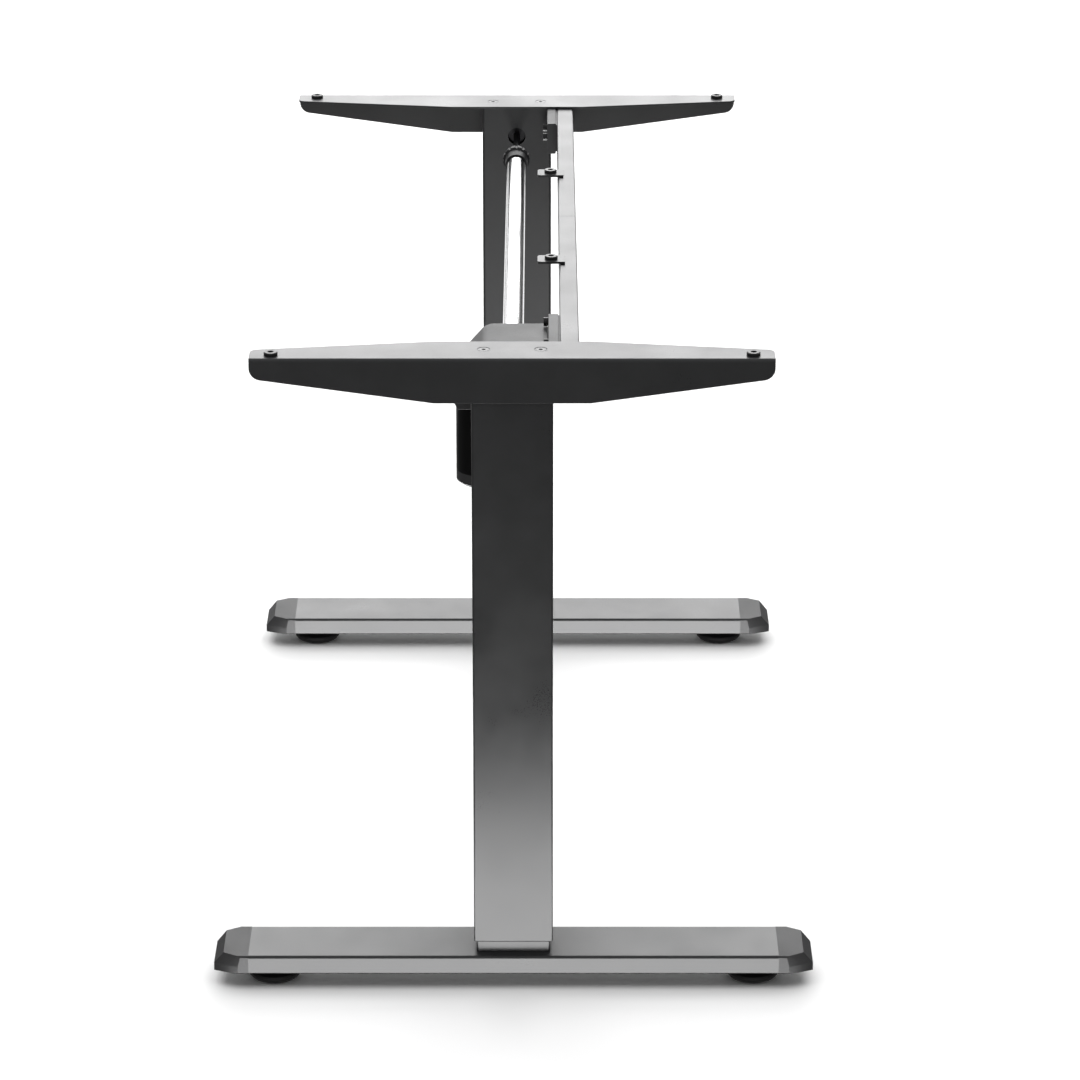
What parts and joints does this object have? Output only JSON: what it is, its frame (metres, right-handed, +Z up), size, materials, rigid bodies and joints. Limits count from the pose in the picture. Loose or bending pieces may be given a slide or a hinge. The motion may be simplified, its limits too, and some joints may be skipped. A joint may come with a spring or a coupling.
{
  "type": "height-adjustable standing desk frame",
  "caption": "Dark steel sit-stand desk frame: T legs that lift on screws, a telescopic rear beam, a central drive shaft with one motor, and faceted feet.",
  "frame": {"origin": "on the floor at the middle of the frame, legs fully lowered and beam closed", "axes": "+X from the plain leg to the motor leg, +Y towards the rear beam, +Z up"},
  "size_m": [1.0434, 0.6496, 0.7215],
  "materials": {
    "coated_steel": "semi-gloss dark powder coat",
    "satin_coat": "satin dark coat on castings and stubs",
    "motor_black": "gloss black coat",
    "black_screws": "black zinc",
    "chrome_tube": "bright plated tube",
    "dark_rod": "blackened steel",
    "bearing_steel": "ground steel",
    "gear_steel": "machined steel",
    "cast_alloy": "as cast",
    "wheel_brass": "machined",
    "nut_plastic": "moulded acetal",
    "glide_plastic": "moulded nylon",
    "cap_plastic": "fine-textured moulding",
    "pad_plastic": "black moulding",
    "grommet_rubber": "black rubber"
  },
  "bodies": {
    "right_frame": {"right_side_bracket": "coated_steel", "right_bracket_screws": "black_screws", "right_desk_grommets": "grommet_rubber", "right_outer_tube": "coated_steel", "right_gear_case": "cast_alloy", "right_screw_bearing": "bearing_steel", "right_glide_collar": "glide_plastic", "right_beam": "coated_steel", "right_beam_set_screws": "black_screws", "right_beam_bracket": "satin_coat", "right_beam_bolts": "black_screws", "right_beam_tab": "coated_steel", "gearbox_housing": "satin_coat", "gearbox_cover": "satin_coat", "motor_can": "motor_black", "motor_end_cap": "cap_plastic"},
    "left_frame": {"left_side_bracket": "coated_steel", "left_bracket_screws": "black_screws", "left_desk_grommets": "grommet_rubber", "left_outer_tube": "coated_steel", "left_gear_case": "cast_alloy", "left_screw_bearing": "bearing_steel", "left_glide_collar": "glide_plastic", "left_beam": "coated_steel", "left_beam_set_screws": "black_screws", "left_beam_bracket": "satin_coat", "left_beam_bolts": "black_screws", "left_beam_tab": "coated_steel"},
    "joiner": {"beam_joiner": "coated_steel"},
    "right_base": {"right_inner_tube": "coated_steel", "right_drive_nut": "nut_plastic", "right_base_plate": "coated_steel", "right_foot_rail": "coated_steel", "right_foot_end_caps": "cap_plastic", "right_foot_bolts": "black_screws", "right_weld_nuts": "gear_steel"},
    "left_base": {"left_inner_tube": "coated_steel", "left_drive_nut": "nut_plastic", "left_base_plate": "coated_steel", "left_foot_rail": "coated_steel", "left_foot_end_caps": "cap_plastic", "left_foot_bolts": "black_screws", "left_weld_nuts": "gear_steel"},
    "right_screw": {"right_lead_screw": "bearing_steel", "right_screw_bevel_gear": "gear_steel"},
    "left_screw": {"left_lead_screw": "bearing_steel", "left_screw_bevel_gear": "gear_steel"},
    "tube_shaft": {"input_shaft": "bearing_steel", "worm_wheel": "wheel_brass", "right_shaft_bevel_gear": "gear_steel", "drive_tube": "chrome_tube", "shaft_collar": "pad_plastic"},
    "rod_shaft": {"hex_rod": "dark_rod", "left_shaft_bevel_gear": "gear_steel"},
    "rotor": {"motor_rotor": "bearing_steel", "worm": "gear_steel"},
    "right_front_foot": {"right_front_leveller": "pad_plastic"},
    "right_rear_foot": {"right_rear_leveller": "pad_plastic"},
    "left_front_foot": {"left_front_leveller": "pad_plastic"},
    "left_rear_foot": {"left_rear_leveller": "pad_plastic"}
  },
  "joints": [
    {"name": "motor_spin", "type": "hinge", "parent": "right_frame", "child": "rotor", "pos_m": [0.414, -0.031, 0.6], "axis": [0, 0, 1], "range_deg": [0, 129600]},
    {"name": "drive_tube_spin", "type": "hinge", "parent": "right_frame", "child": "tube_shaft", "pos_m": [0, 0, 0.68], "axis": [1, 0, 0], "range_deg": [0, 10800]},
    {"name": "hex_rod_spin", "type": "hinge", "parent": "left_frame", "child": "rod_shaft", "pos_m": [0, 0, 0.68], "axis": [1, 0, 0], "range_deg": [0, 10800]},
    {"name": "right_screw_spin", "type": "hinge", "parent": "right_frame", "child": "right_screw", "pos_m": [0.485, 0, 0.3], "axis": [0, 0, 1], "range_deg": [-10800, 0]},
    {"name": "left_screw_spin", "type": "hinge", "parent": "left_frame", "child": "left_screw", "pos_m": [-0.485, 0, 0.3], "axis": [0, 0, 1], "range_deg": [0, 10800]},
    {"name": "right_lift", "type": "slide", "parent": "right_frame", "child": "right_base", "axis": [0, 0, -1], "range_m": [0, 0.45]},
    {"name": "left_lift", "type": "slide", "parent": "left_frame", "child": "left_base", "axis": [0, 0, -1], "range_m": [0, 0.45]},
    {"name": "frame_width", "type": "slide", "parent": "right_frame", "child": "left_frame", "axis": [-1, 0, 0], "range_m": [0, 0.4]},
    {"name": "joiner_slide", "type": "slide", "parent": "right_frame", "child": "joiner", "axis": [-1, 0, 0], "range_m": [0, 0.2]},
    {"name": "right_front_level", "type": "slide", "parent": "right_base", "child": "right_front_foot", "axis": [0, 0, -1], "range_m": [0, 0.008]},
    {"name": "right_rear_level", "type": "slide", "parent": "right_base", "child": "right_rear_foot", "axis": [0, 0, -1], "range_m": [0, 0.008]},
    {"name": "left_front_level", "type": "slide", "parent": "left_base", "child": "left_front_foot", "axis": [0, 0, -1], "range_m": [0, 0.008]},
    {"name": "left_rear_level", "type": "slide", "parent": "left_base", "child": "left_rear_foot", "axis": [0, 0, -1], "range_m": [0, 0.008]}
  ],
  "couplings": [
    {"joint": "drive_tube_spin", "follows": "motor_spin", "ratio": 0.083333},
    {"joint": "hex_rod_spin", "follows": "motor_spin", "ratio": 0.083333},
    {"joint": "right_screw_spin", "follows": "motor_spin", "ratio": -0.083333},
    {"joint": "left_screw_spin", "follows": "motor_spin", "ratio": 0.083333},
    {"joint": "right_lift", "follows": "motor_spin", "m_per_rad": 0.00019894},
    {"joint": "left_lift", "follows": "motor_spin", "m_per_rad": 0.00019894},
    {"joint": "joiner_slide", "follows": "frame_width", "ratio": 0.5}
  ]
}
